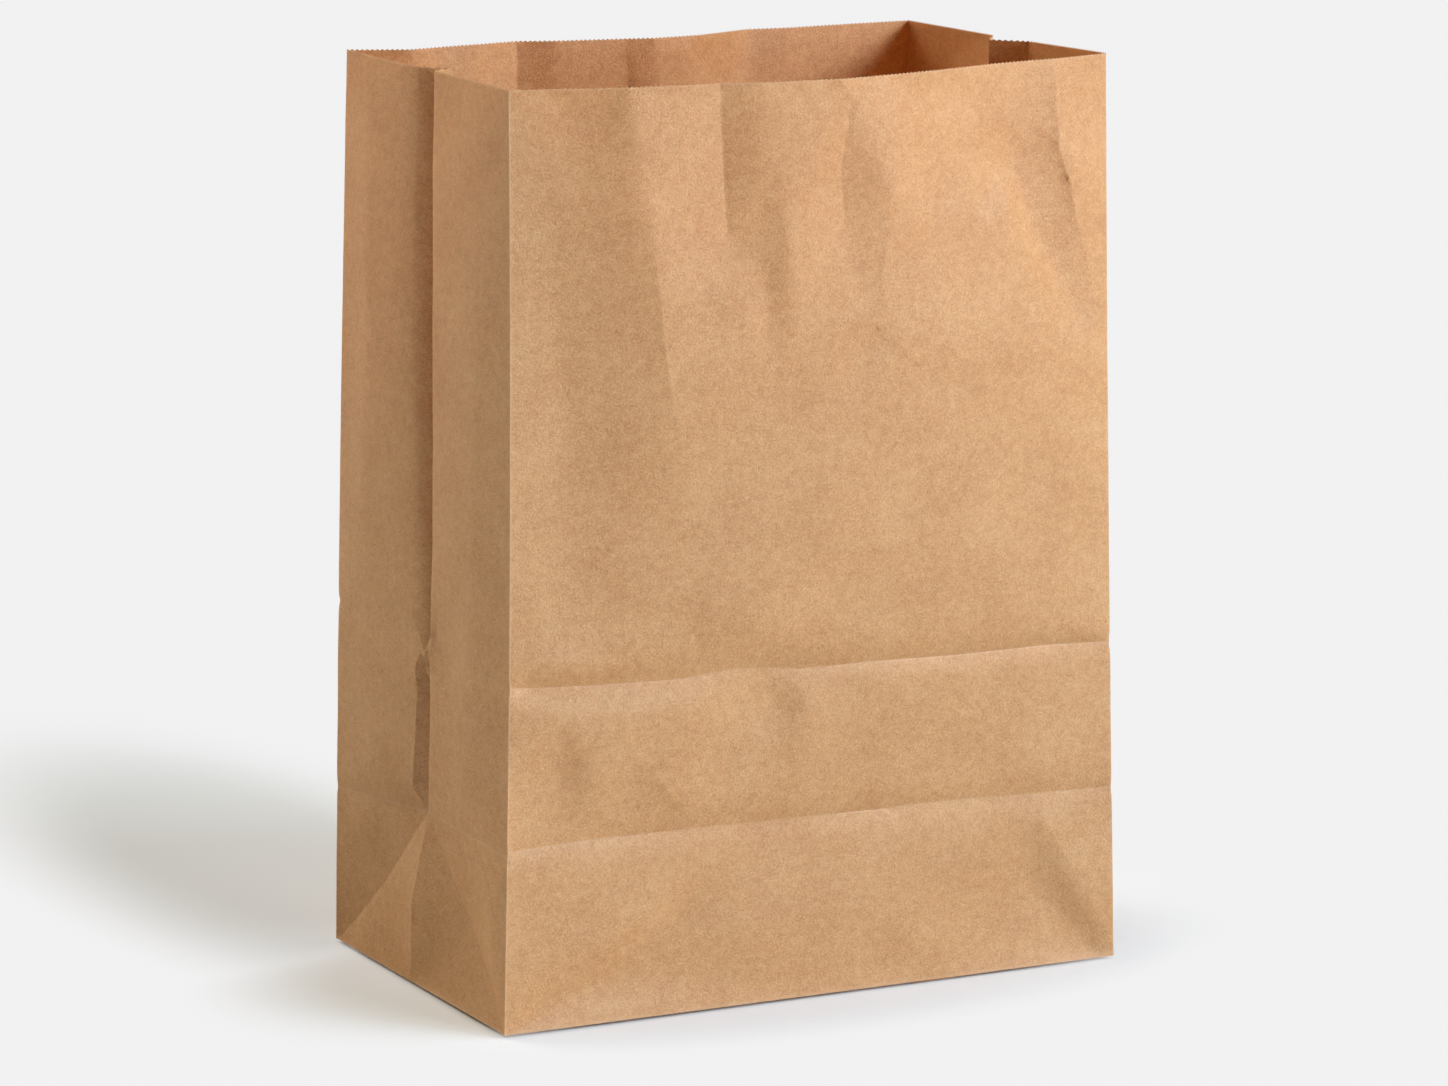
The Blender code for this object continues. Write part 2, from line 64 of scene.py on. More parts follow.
class Wire:
    """One socket of a node tree. Arithmetic on it adds the node that does the sum."""

    def __init__(self, tree, socket=None):
        self.tree, self.socket = tree, socket

    def node(self, kind, settings=(), values=(), out=0):
        """Adds a node: its settings first, then the numbers or wires of its sockets."""
        made = self.tree.nodes.new("ShaderNode" + kind)
        for name, value in dict(settings).items():
            if name == "stops":
                ramp = made.color_ramp
                while len(ramp.elements) < len(value):
                    ramp.elements.new(0.5)
                for element, (place, colour) in zip(ramp.elements, value):
                    element.position = place
                    element.color = (*colour, 1)
            else:
                setattr(made, name, value)
        for name, value in dict(values).items():
            if isinstance(value, Wire):
                self.tree.links.new(value.socket, made.inputs[name])
            else:
                made.inputs[name].default_value = value
        return Wire(self.tree, made.outputs[out] if made.outputs else None)

    def sum(self, operation, first, second):
        if "VECTOR" in (getattr(getattr(w, "socket", None), "type", "") for w in (first, second)):
            return self.node("VectorMath", {"operation": operation}, {0: first, 1: second})
        return self.node("Math", {"operation": operation}, {0: first, 1: second})

    def __add__(self, other):
        return self.sum("ADD", self, other)

    def __radd__(self, other):
        return self.sum("ADD", other, self)

    def __sub__(self, other):
        return self.sum("SUBTRACT", self, other)

    def __rsub__(self, other):
        return self.sum("SUBTRACT", other, self)

    def __mul__(self, other):
        return self.sum("MULTIPLY", self, other)

    def __rmul__(self, other):
        return self.sum("MULTIPLY", other, self)

    def __truediv__(self, other):
        return self.sum("DIVIDE", self, other)


def node_tree(owner):
    owner.use_nodes = True
    owner.node_tree.nodes.clear()
    return Wire(owner.node_tree)


# The table the bag stands on: one seamless sheet of pale card, which runs out past everything in view.
table_mesh = bpy.data.meshes.new("table")
reach = 8
table_mesh.from_pydata([(-reach, -reach, 0), (reach, -reach, 0), (reach, reach, 0), (-reach, reach, 0)], [], [(0, 1, 2, 3)])
table = bpy.data.objects.new("table", table_mesh)
bpy.context.scene.collection.objects.link(table)
card = bpy.data.materials.new("pale_card")
# Near the bag the camera sees the lit card with a painted glow added, which lifts the bag's shadow; further out it sees
# an even white.
paint = node_tree(card)
lit = paint.node("BsdfDiffuse", {}, {"Color": (0.86, 0.86, 0.86, 1)})
bright = paint.node("BsdfDiffuse", {}, {"Color": (0.82, 0.90, 0.96, 1)})
plain = paint.node("Emission", {}, {"Color": (0.885, 0.885, 0.887, 1), "Strength": 1.0})
place = paint.node("NewGeometry", out="Position")
fades = []
for spot, stretch, inner, outer in (
    ((-0.085, 0.17, 0), (2.6, 1, 1), 0.09, 0.25),
    ((0, 0, 0), (1, 1.75, 1), 0.12, 0.18),
):
    away = paint.node("VectorMath", {"operation": "LENGTH"}, {0: (place - spot) * stretch}, out="Value")
    fades.append(paint.node("MapRange", {"interpolation_type": "SMOOTHSTEP"}, {
        "Value": away, "From Min": inner, "From Max": outer, "To Min": 0.0, "To Max": 1.0}))
far = paint.node("Math", {"operation": "MINIMUM"}, {0: fades[0], 1: fades[1]})
# Painted shade: the glow weakens from 5 to 19 cm behind the bag's middle, which darkens the shadow towards the back.
deep = paint.node("MapRange", {}, {
    "Value": paint.node("SeparateXYZ", {}, {0: place}, out="Y"),
    "From Min": 0.05, "From Max": 0.19, "To Min": 0.0, "To Max": 1.0})
under = paint.node("VectorMath", {"operation": "ABSOLUTE"}, {0: place}) - (0.1035, 0.0595, 0)
under_x = paint.node("SeparateXYZ", {}, {0: under}, out="X")
under_y = paint.node("SeparateXYZ", {}, {0: under}, out="Y")
under = paint.node("Math", {"operation": "MAXIMUM"}, {0: under_x, 1: under_y})
# Painted shade: the glow stops under the bag's foot and within 2.5 mm of it, which leaves a thin dark line where the
# bag meets the card.
painted_foot_line_fade = paint.node("MapRange", {}, {
    "Value": under, "From Min": -0.0015, "From Max": 0.0025, "To Min": 0.0, "To Max": 1.0})
# The painted glow's colour is weaker behind, a 0.16 grey outside the shadow patch, and black at the foot.
painted_shade_and_lift_colour = paint.node("Mix", {"data_type": "RGBA"}, {
    "Factor": deep, 6: (0.215, 0.23, 0.27, 1), 7: (0.10, 0.10, 0.105, 1)}, out=2)
painted_shade_and_lift_colour = paint.node("Mix", {"data_type": "RGBA"}, {
    "Factor": fades[0], 6: painted_shade_and_lift_colour, 7: (0.16, 0.16, 0.16, 1)}, out=2)
painted_shade_and_lift_colour = paint.node("Mix", {"data_type": "RGBA"}, {
    "Factor": painted_foot_line_fade, 6: (0, 0, 0, 1), 7: painted_shade_and_lift_colour}, out=2)
painted_lift_emission = paint.node("Emission", {}, {"Color": painted_shade_and_lift_colour, "Strength": 1.0})
near = paint.node("AddShader", {}, {0: bright, 1: painted_lift_emission})
shown = paint.node("MixShader", {}, {0: far, 1: near, 2: plain})
seen = paint.node("LightPath", out="Is Camera Ray")
blended = paint.node("MixShader", {}, {0: seen, 1: lit, 2: shown})
paint.node("OutputMaterial", {}, {"Surface": blended})
table_mesh.materials.append(card)

# The room: even white light from all round, and a pale wall far away.
room = bpy.data.worlds.new("room")
bpy.context.scene.world = room
paint = node_tree(room)
seen = paint.node("LightPath", out="Is Camera Ray")
ambient = paint.node("Background", {}, {"Color": (1, 1, 1, 1), "Strength": 0.05})
wall = paint.node("Background", {}, {"Color": (0.885, 0.885, 0.887, 1), "Strength": 1.0})
paint.node("OutputWorld", {}, {"Surface": paint.node("MixShader", {}, {0: seen, 1: ambient, 2: wall})})


def softbox(name, place, aim, size, power, colour):
    """A square lamp behind a diffuser, standing at place and turned to aim."""
    data = bpy.data.lights.new(name, "AREA")
    data.shape = "RECTANGLE"
    data.size, data.size_y = size
    data.energy = power
    data.color = colour
    lamp = bpy.data.objects.new(name, data)
    bpy.context.scene.collection.objects.link(lamp)
    lamp.location = place
    lamp.rotation_mode = "QUATERNION"
    lamp.rotation_quaternion = (Vector(aim) - Vector(place)).to_track_quat("-Z", "Y")
    return lamp


lamp_reach = 4.0
lamp_aim = Vector((0, 0, 0.14))
for name, turn, height, power, colour in (
    ("key", 45, 30, 64, (0.96, 1.0, 1.07)),
    ("low_key", 25, 12, 70, (0.96, 1.0, 1.07)),
    ("side", 70, 35, 42, (0.96, 1.0, 1.07)),
    ("back", -160, 30, 54, (1.0, 0.87, 0.67)),
    ("high_back", -140, 45, 37, (1.0, 0.87, 0.67)),
    ("low_back", -140, 12, 14, (1.0, 0.87, 0.67)),
):
    turn, height = math.radians(turn), math.radians(height)
    way = Vector((math.sin(turn) * math.cos(height), -math.cos(turn) * math.cos(height), math.sin(height)))
    softbox(name, lamp_aim + way * lamp_reach, lamp_aim, (1.5, 1.5), power, colour)

# The bag is one web of brown kraft paper, folded and glued into a tube. Its size comes from the frame:
# the rectangle it stands on, its height, and where the four upright folds end at the rim.
MM = 0.001
solid = np.array([vertex.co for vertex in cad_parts["paper_bag"].data.vertices])
bag_height = solid[:, 2].max() / MM
foot = solid[solid[:, 2] < MM] / MM
bag_width, bag_depth = np.ptp(foot[:, 0]), np.ptp(foot[:, 1])
paper = 0.14
rim = solid[solid[:, 2] > bag_height * MM - MM] / MM


class Corner:
    """One upright fold, from the foot to the rim. Strays and dents are in millimetres."""

    def __init__(self, side, foot_stray, rim_stray, belly, dents):
        self.side = np.array(side)
        self.foot = np.array([side[0] * (bag_width - paper) / 2, side[1] * (bag_depth - paper) / 2])
        self.foot = self.foot + foot_stray
        end = rim[np.argmax(rim[:, :2] @ self.side)]
        self.top = end[:2] + rim_stray[:2]
        self.rise = rim_stray[2]
        self.belly, self.dents = np.array(belly), dents

    def at(self, height):
        share = np.clip(height / bag_height, 0, 1)
        place = self.foot + (self.top - self.foot) * share[:, None]
        place = place + self.belly * np.sin(np.pi * share)[:, None]
        dent = 0.16 + 0.10 * np.array([noise.noise(Vector((h * 0.06, *self.side))) for h in height])
        for middle, depth, half in self.dents:
            dent = dent + depth * np.exp(-((height - middle) / half) ** 2)
        place = place - self.side / math.sqrt(2) * dent[:, None]
        return np.column_stack([place, height + self.rise * share])


corners = {
    "front_left": Corner((-1, -1), (0.6, -0.3), (0, -0.2, -0.5), (0.9, -0.3),
                         [(105.7, 0.8, 2.2), (56.3, 0.5, 2.0), (214, 0.2, 3)]),
    "front_right": Corner((1, -1), (1.8, -1.8), (0, 0, 0.8), (-0.4, 0), [(100.6, 0.4, 2.2), (54.6, 0.3, 2)]),
    "back_right": Corner((1, 1), (0, 0), (0, 0, -1.35), (0, 0), [(56.5, 0.3, 2)]),
    "back_left": Corner((-1, 1), (-1.2, 1.6), (0, 0, -1.4), (-0.6, 0), [(110, 0.45, 1.6), (50.5, 0.3, 2)]),
}


# How the flat sheet is laid out as small triangles: along every crease, and evenly between them.
def along(line, step):
    """A line's points, with more between them so that none are further apart than the step."""
    line = np.array(line, float)
    points = [line[0]]
    for start, end in zip(line, line[1:]):
        parts = max(1, math.ceil(np.hypot(*(end - start)[:2]) / step))
        points += [start + (end - start) * part / parts for part in range(1, parts + 1)]
    return np.array(points)


def triangles_between(points, edges, outline, kind):
    flat = [Vector((x, y)) for x, y in points]
    verts, _, faces, sources, _, _ = delaunay_2d_cdt(flat, edges, outline, kind, 1e-4)
    placed = np.array([points[source[0]] if source else tuple(vert) for vert, source in zip(verts, sources)])
    return placed, np.array([face for face in faces if len(face) == 3])


class Facets:
    """Flat facets between a panel's creases: how far the paper stands out at any place."""

    def __init__(self, width, creases):
        known, edges = {}, []
        for crease in creases:
            keys = [(across, height) for across, height, _ in crease]
            known.update({(across, height): out for across, height, out in crease})
            edges += list(zip(keys, keys[1:]))
        for height in (0, 30, 80, 120, 140, 175, 205, 237, 261, bag_height):
            known.setdefault((0, height), 0)
            known.setdefault((width, height), 0)
        names = list(known)
        index = {name: i for i, name in enumerate(names)}
        self.points, self.faces = triangles_between(
            np.array(names, float), [(index[a], index[b]) for a, b in edges], [], 0)
        ends = [(np.array(a, float), np.array(b, float), known[a], known[b]) for a, b in edges]
        self.outs = []
        for point in self.points:
            key = tuple(point)
            if key in known:
                self.outs.append(known[key])
                continue
            best = None
            for a, b, out_a, out_b in ends:
                share = np.clip((point - a) @ (b - a) / ((b - a) @ (b - a)), 0, 1)
                gap = np.hypot(*(a + (b - a) * share - point))
                if best is None or gap < best[0]:
                    best = (gap, out_a + (out_b - out_a) * share)
            self.outs.append(best[1])
        self.outs = np.array(self.outs)

    def at(self, places):
        found = np.zeros(len(places))
        depth = np.full(len(places), -1e9)
        for face in self.faces:
            a, b, c = self.points[face]
            area = np.cross(b - a, c - a)
            if abs(area) < 1e-9:
                continue
            part_b = np.cross(places - a, c - a) / area
            part_c = np.cross(b - a, places - a) / area
            inside = np.minimum(np.minimum(part_b, part_c), 1 - part_b - part_c)
            better = inside > depth
            out = self.outs[face[0]] * (1 - part_b - part_c) + self.outs[face[1]] * part_b + self.outs[face[2]] * part_c
            found = np.where(better, out, found)
            depth = np.where(better, inside, depth)
        return found


tooth_pitch, tooth_depth = 1.5, 0.45
levels = {"front": 0.5, "back": 1.5, "gusset": 2.5}
side_heights = np.concatenate([np.arange(0, 276, 2.0), [276, 278, 279.5, 280.6, 281.4, bag_height]])


def fine_ripple(across, height, seed):
    """The slight cockle of paper that has been folded flat and opened again."""
    total = 0.0
    for size, amount in ((34, 0.30), (13, 0.14), (5.5, 0.04)):
        total += amount * noise.noise(Vector((across / size, height / size, seed)))
    return total


class Panel:
    """One side of the tube and the base flap below it, cut flat, then creased and stood in place."""

    def __init__(self, name, start, end, width, outward, level, flap, flap_slant, rubbed_and_highlit, crisp, soft, bow,
                 spacing, seed, lap=None):
        self.name, self.width, self.seed = name, width, seed
        self.start, self.end = corners[start], corners[end]
        self.lap = lap
        self.outward = np.array(outward, float)
        self.level, self.flap = level * paper, flap
        self.bow = bow
        sides = [height for height in side_heights if 0 < height < bag_height]
        teeth = 2 * round(width / tooth_pitch)
        top = [(width * step / teeth, bag_height - (tooth_depth if step % 2 else 0)) for step in range(teeth, -1, -1)]
        inset = flap * flap_slant
        cut_start, cut_end = inset + 1.2, width - inset - 1.2
        teeth = 2 * round((cut_end - cut_start) / tooth_pitch)
        cut = [(cut_start + (cut_end - cut_start) * step / teeth, -flap + (tooth_depth if step % 2 else 0))
               for step in range(teeth + 1)]
        outline = [(0, 0)] + [(1.2 + flap_slant * 1.5, -1.5)] + cut + [(width - 1.2 - flap_slant * 1.5, -1.5)]
        outline += [(width, 0)] + [(width, height) for height in sides] + top
        outline += [(0, height) for height in sides[::-1]]
        points = [tuple(map(float, point)) for point in outline]
        ring = list(range(len(points)))
        edges = []
        self.pinned = {}

        def run(line, step, weight, flank):
            fine = along(line, step)
            ids = []
            for point in fine:
                key = (round(point[0], 4), round(point[1], 4))
                if key[1] >= bag_height - 0.01:
                    near = min(range(len(top)), key=lambda i: abs(top[i][0] - key[0]) + top[i][1] * -10)
                    key = (round(top[near][0], 4), round(top[near][1], 4))
                if key not in index:
                    index[key] = len(points)
                    points.append((float(key[0]), float(key[1])))
                ids.append(index[key])
                self.pinned[key] = max(weight, self.pinned.get(key, 0))
            edges.extend((a, b) for a, b in zip(ids, ids[1:]) if a != b)
            if flank:
                for a, b in zip(fine, fine[1:]):
                    way = (b - a)[:2]
                    square = np.array([-way[1], way[0]]) / max(np.hypot(*way), 1e-6)
                    for side in (-flank, flank):
                        spot = (a + b)[:2] / 2 + square * side
                        if 0.3 < spot[0] < width - 0.3 and 0.3 < spot[1] < bag_height - 1:
                            flanks.append(tuple(spot))

        index = {(round(x, 4), round(y, 4)): i for i, (x, y) in enumerate(points)}
        flanks = []
        run([(0, 0, 0), (width, 0, 0)], 2.0, 1, 0)
        for crease in rubbed_and_highlit:
            run(crease, 1.6, 1, 0.6)
        main_folds = set(self.pinned)
        for crease in crisp:
            run(crease, 1.6, 0.9, 0.6)
        for edge in lap or ():
            for beside in (-0.12, 0.12):
                run([(edge + beside, 1.0, 0), (edge + beside, bag_height - 2.4, 0)], 3.0, 0, 0)
        for crease in soft:
            run(crease, 2.0, 0.55, 0)
        for height in side_heights:
            if 2 < height < bag_height - 0.5:
                for near in (0.6, 1.6):
                    flanks += [(near, height - 0.5), (width - near, height - 0.5)]
        for row, gap in ((0.9, 0.8), (1.8, 1.3), (3.2, 1.8)):
            count = round(width / gap)
            flanks += [(width * (step + 0.5) / count, bag_height - row) for step in range(count)]
        tree = kdtree.KDTree(len(points))
        for i, (x, y) in enumerate(points):
            tree.insert((x, y, 0), i)
        tree.balance()
        kept = [spot for spot in flanks if tree.find((*spot, 0))[2] > 0.35]
        tree = kdtree.KDTree(len(points) + len(kept))
        for i, (x, y) in enumerate(points + kept):
            tree.insert((x, y, 0), i)
        tree.balance()
        fill = []
        rows = int((bag_height + flap) / (spacing * 0.866))
        for row in range(rows):
            y = -flap + (row + 0.5) * spacing * 0.866
            columns = int(width / spacing)
            for column in range(columns):
                x = (column + 0.5 + (0.25 if row % 2 else -0.25)) * width / columns
                if y < 0 and (x < -y * flap_slant + 2 or x > width + y * flap_slant - 2 or y < -flap + 1.5):
                    continue
                if y < 0 and (row % 2 or column % 2):
                    continue
                if tree.find((x, y, 0))[2] > spacing * 0.62:
                    fill.append((x, y))
        self.places, self.faces = triangles_between(points + kept + fill, edges, [ring], 1)
        self.shape(Facets(width, rubbed_and_highlit + crisp + soft), main_folds)

    def shape(self, facets, main_folds):
        """Creases the flat sheet: facets, then the paper's spring rounds what isn't a crisp crease."""
        x, y = self.places[:, 0], self.places[:, 1]
        out = np.where(y > 0, facets.at(self.places), 0)
        held = np.array([self.pinned.get((round(px, 4), round(py, 4)), 0) for px, py in self.places])
        held[(x < 1e-6) | (x > self.width - 1e-6) | (y <= 1e-6)] = 1
        a, b = np.concatenate([self.faces[:, [0, 1]], self.faces[:, [1, 2]], self.faces[:, [2, 0]]]).T
        count = np.bincount(a, minlength=len(x)) + np.bincount(b, minlength=len(x))
        for turn in range(3):
            total = np.bincount(a, out[b], len(x)) + np.bincount(b, out[a], len(x))
            mean = total / np.maximum(count, 1)
            out = out + (mean - out) * 0.6 * (1 - held)
        edge = np.clip(np.minimum(x, self.width - x) / 5, 0, 1) * np.clip(y / 6, 0, 1)
        ripple = np.array([fine_ripple(px, py, self.seed) for px, py in self.places])
        out = out + ripple * edge
        share = x / self.width
        height = np.maximum(y, 0)
        start, end = self.start.at(height), self.end.at(height)
        place = start + (end - start) * share[:, None]
        place = place + np.outer(out + self.bow(share, height), [*self.outward, 0])
        deep = np.maximum(-y, 0)
        place[:, :2] -= np.outer(deep, self.outward)
        from_edge = np.where(y < 0, deep, 0)
        lifted = 0.9 * np.clip(1 - from_edge / 12, 0, 1) ** 2 + self.level
        place[:, 2] += lifted * np.clip(1 - y / 4, 0, 1) ** 2 * (y >= 0) + lifted * (y < 0)
        self.place = place
        self.over, self.under = (
            paper * (x < edge) * np.clip(x / 10, 0, 1) for edge in (self.lap or (0, 0)))
        side_fold = (x < 1e-6) | (x > self.width - 1e-6)
        main = np.array([(round(px, 4), round(py, 4)) in main_folds for px, py in self.places])
        # A pale line on the main folds, the upright folds, the base fold and the rim: partly rubbing, partly painted
        # highlight.
        self.wear_and_highlight = np.where(main & (y > 0), 0.6, 0.0)
        self.wear_and_highlight = np.where((y > bag_height - tooth_depth - 0.01), 0.7, self.wear_and_highlight)
        self.wear_and_highlight = np.where(side_fold & (y > 0), 1.0, self.wear_and_highlight)
        self.wear_and_highlight = np.where((np.abs(y) < 1e-6), 0.6, self.wear_and_highlight)
        self.at_corner = [None] * len(x)
        for i, (px, py) in enumerate(self.places):
            if py >= -1e-6 and px < 1e-6:
                self.at_corner[i] = (id(self.start), round(py, 3))
            elif py >= -1e-6 and px > self.width - 1e-6:
                self.at_corner[i] = (id(self.end), round(py, 3))


# The front panel bellies out at the open mouth. It carries the crease that the base folds up on, the
# mark that the folded base pressed in above it, and the dents that handling left under the rim.
front_bow = 17
base_crease = 56.5


def bellied(share, height):
    rise = np.clip((height - base_crease) / (bag_height - base_crease), 0, 1)
    return front_bow * rise**0.8 * 4 * share * (1 - share)


def flat(share, height):
    return 0 * share


top = bag_height
front_worn = [
    [(0, 56.3, 0), (6, 56.5, -0.9), (32, 57.2, -1.1), (57, 57.1, -1.0), (63, 57.2, -0.6), (84, 56.7, -0.6),
     (98, 56.8, -0.6), (129, 56.2, -0.9), (137, 56.6, -0.6), (155, 56.1, -0.6), (175, 55.3, -0.6),
     (202, 54.7, -0.5), (208, 54.6, 0)],
    [(0, 105.7, 0), (6, 105.4, -1.4), (32, 104.4, -1.8), (60, 104.0, -1.5), (74, 105.5, -1.8),
     (97, 103.3, -2.0), (119, 103.4, -1.5), (134, 103.0, -1.5), (150, 102.3, -1.4), (185, 102.0, -1.3),
     (202, 100.9, -1.0), (208, 100.6, 0)],
]
front_crisp = [
    [(51, 71, 1.6), (63, 57.2, -0.6)],
    [(64, top, -1.7), (65.5, 262, -1.8), (67.5, 237.4, -1.7)],
    [(101, top, 2.6), (106.5, 276.7, 1.6), (104, 255, 0.2), (106, 237, 0.2)],
    [(121, 247.5, 2.4), (119, 225, 1.8), (117, 206, 1.4)],
    [(186, top, -1.8), (187.6, 254.5, -0.6), (194, 235.7, 0.4), (204.4, 202.7, 0.3)],
    [(191, 246, 0.7), (198, 235, 0.3), (208, 234, 0)],
    [(202.5, 117, -0.1), (208, 115.5, 0)],
    [(43, 234, 1.5), (46.5, 205, 1.8), (49, 190, 1.7), (53, 174, 0.9)],
]
front_soft = [
    [(4, 53.6, 0.0), (32, 54, 0.1), (64, 53.6, 0.0), (98, 53.4, -0.1), (129, 52.6, 0.0), (170, 52, -0.2), (203, 51.6, 0.0)],
    [(4, 62, -0.7), (17, 63, -1.3), (27, 63, -0.9), (40, 63, -0.3), (51, 71, 1.6)],
    [(72, 63, 0.0), (98, 62, 0.2), (125, 62, 0.5), (155, 62, 0.1), (185, 62, 0.1), (203, 60, 0.1)],
    [(5, 98, 0.5), (17, 96.5, 0.8), (29, 95.5, 1.0), (42, 95, 1.1), (58, 98, 0.4), (74, 100.5, -1.6), (84, 100, -2.0),
     (97, 99.8, -0.6), (134, 99, -0.2), (185, 98.4, -0.1), (204, 97, -0.1)],
    [(4, 111, 0.4), (17, 111, 0.8), (32, 109.5, 0.1), (56, 112, 0.5), (64, 124, 1.8), (80, 128, 2.3), (93, 124, 1.8),
     (98, 110, -0.2), (134, 108.5, 0.3), (185, 107.5, 0.4), (204, 105.5, 0.2)],
    [(93, 124, 1.8), (110, 140, 1.9), (130, 136, 1.4)],
    [(67, 115, 1.1), (80, 117, 1.5), (92, 115, 1.1)],
        [(0, 0, 0), (12, 6, -1.9), (30, 12, -2.9), (43, 19, -2.6), (69, 42, 0.0)],
    [(10, 17, 0.4), (28, 24, 1.1), (48, 34, 1.0)],
    [(78, 24, 0.7), (104, 27, 0.8), (132, 22, 0.6)],
    [(80, 6, -0.4), (112, 6, -0.5), (142, 5, -0.3)],
    [(208, 0, 0), (195, 26, 0.8), (183, 47, 0.8)],
    [(201, 3.5, -1.3), (181, 26, -2.3), (170, 46, 0.0)],
    [(17, 96.5, 0.8), (17, 77, -1.3), (17, 63, -1.4)],
    [(29, 95.5, 1.0), (27, 78, 1.1), (27, 63, -0.7)],
    [(42, 95, 1.1), (40, 80, 1.0), (51, 71, 1.6)],
    [(74, 100.5, -1.6), (72, 84, -0.7), (72, 63, 0.0)],
    [(84, 100, -2.0), (88, 93, -2.3), (90, 82, -0.2), (95, 74, 0.5)],
    [(97, 99.8, -0.6), (98, 90, 0.5)],
    [(125, 62, 0.5), (129, 56.2, -0.9), (132, 49, 0.4)],
    [(125, 88, -0.3), (128, 74, 0.0)],
    [(10, 262, -0.9), (15, 205, -1.2), (18, 185, -1.4), (18, 150, -1.4), (14, 125, -0.9)],
    [(28, 192, -0.5), (31, 165, -0.6)],
    [(35, top, 0.6), (38, 255, 1.0), (43, 234, 1.5)],
    [(53, 174, 1.0), (55, 150, 0.3)],
    [(9, top, -0.4), (18, 276, -1.7), (27, 276, -1.2), (35, top, 0.4)],
    [(20, 266, -1.3), (23, 245, -0.8), (27, 215, -0.3)],
    [(70, top, -0.3), (70.5, 262, -0.5), (69.5, 247, -1.1)],
    [(77, top, 0.8), (75, 262, 0.5), (72.5, 247, -0.3), (67.5, 237.4, -1.7)],
    [(84, top, 1.3), (80, 264, 1.0), (77, 252, 0.6)],
    [(58, 214, 0.9), (67.5, 237.4, -1.7), (74, 214, 0.9), (76, 203, 0.8), (78, 188, 0.5)],
    [(78.5, 248, 0.2), (79, 236, -0.3), (80, 220, -0.1), (81.5, 206, 0.1), (83, 196, 0.4)],
    [(85.5, 250, 1.6), (86.5, 236, 1.9), (87, 220, 1.5), (87, 206, 1.0)],
    [(95, top, 1.8), (95.5, 262, 1.5), (94, 240, 1.3), (92, 215, 1.2)],
    [(112, top, 1.2), (106.5, 276.7, 1.6), (121, 247.5, 2.4)],
    [(106, 237, 0.2), (111, 222, 0.8), (117, 206, 1.4)],
    [(121, 275, 0.9), (144, 275, -3.8), (148, 255, -2.4), (151, 236, 0.9)],
    [(125, 233, 2.2), (138, 236, 1.4), (151, 236, 0.9), (166, 236, 0.4), (174, 222, 1.2)],
    [(100, 210, 1.3), (125, 205, 2.6), (150, 196, 3.0), (180, 194, 3.0), (203, 197, 1.1)],
    [(110, 176, 1.6), (150, 170, 2.0), (190, 168, 1.6)],
    [(164, top, -3.8), (168, 263, -4.9), (171, 250, -6.0), (178, 232, -3.8), (195, 204, -0.7)],
    [(178, top, -3.2), (180, 262, -3.3), (182, 250, -3.2), (188, 236, -1.7)],
    [(58, 135, 0.9), (56, 124, 0.7), (62, 112, 0.5)],
]

# Each gusset is tucked in along its centre fold, with a rounded shoulder on both sides of it, and
# meets the base in two folds that run down to the corners.
left_worn = [
    [(59, top, -8.6), (59.5, 252, -8.9), (60, 205, -9.4), (59, 170, -8), (57, 137, -5.4), (55.5, 117, -3.2),
     (56, 109, -1.0), (56.3, 105, 0.4), (57, 100, -0.8), (56.8, 95, -2.7), (56.5, 90, -4.4), (57.5, 75, -5.2), (59, 55.5, -2.8)],
    [(0, 55, 0), (30, 55.5, -0.6), (59, 55.5, -2.8), (90, 53, -0.8), (118, 50.5, 0)],
]
left_crisp = [
    [(0, 0, 0), (13, 11.5, -2.6), (30, 27, -3.5), (59, 55.5, -2.8), (88, 27, -3.2), (104, 12.5, -2.0), (118, 0, 0)],
    [(59, 55.5, -2.8), (62, 27, 1.0), (64, 0, 0)],
    [(56.3, 105, 0.4), (58.8, 104.9, 0.3), (61.3, 102, 0.5), (62.2, 98, 0.4), (61.2, 93.5, 0.0)],
    [(56.3, 105, 0.4), (60.5, 111, 0.1), (66, 118, 0.3)],
    [(58.6, 102.8, -1.4), (59.2, 99, -2.8), (58.2, 94.5, -3.8)],
    [(54.7, 103, -1.2), (54.3, 98.5, -1.8), (54.6, 95.5, -2.0)],
    [(53.4, 107, -0.2), (50.5, 113, -1.0), (51.5, 120, -0.4)],
    [(55, top, -0.8), (55, 252, -0.8), (54.8, 205, -0.8), (54.4, 170, -0.8), (54, 137, -0.7), (53.4, 107, -0.2),
     (53, 100.5, 0.0), (53.4, 92, -0.4), (54.5, 75, -0.8), (59, 55.5, -2.8)],
    [(61.2, 93.5, 0.0), (61.8, 86, 0.0), (63, 75, -0.2), (64.6, 62, -0.4), (59, 55.5, -2.8)],
]
left_soft = [
    [(62.4, top, -2.7), (63, 252, -2.8), (63.6, 205, -3.0), (62.2, 170, -2.4), (59.7, 137, -1.8), (57.7, 117, -1.2)],
    [(66, top, -0.9), (66.8, 252, -0.9), (67.6, 205, -1.0), (65.5, 170, -0.8), (62.5, 137, -0.6), (59.7, 117, -0.5)],
    [(72, top, 0.1), (72.8, 252, 0.1), (73.8, 205, 0.1), (71, 170, 0.1), (67, 137, 0.1), (62, 118, 0.0)],
    [(20, 272, 1.0), (22, 205, 1.1), (24, 140, 1.0), (26, 80, 0.9)],
    [(96, 272, 1.8), (97, 205, 1.9), (96, 140, 1.4), (94, 80, 1.0), (92, 62, 0.8)],
    [(84, 272, 1.2), (85, 205, 1.2), (80, 140, 0.9), (78, 80, 0.7)],
    [(66, 122, 0.5), (90, 110, 0.9), (116, 105, 0.2)],
    [(8, 20, 0.3), (10, 40, 0.4)],
    [(70, 14, -0.2), (84, 14, -0.9)],
]
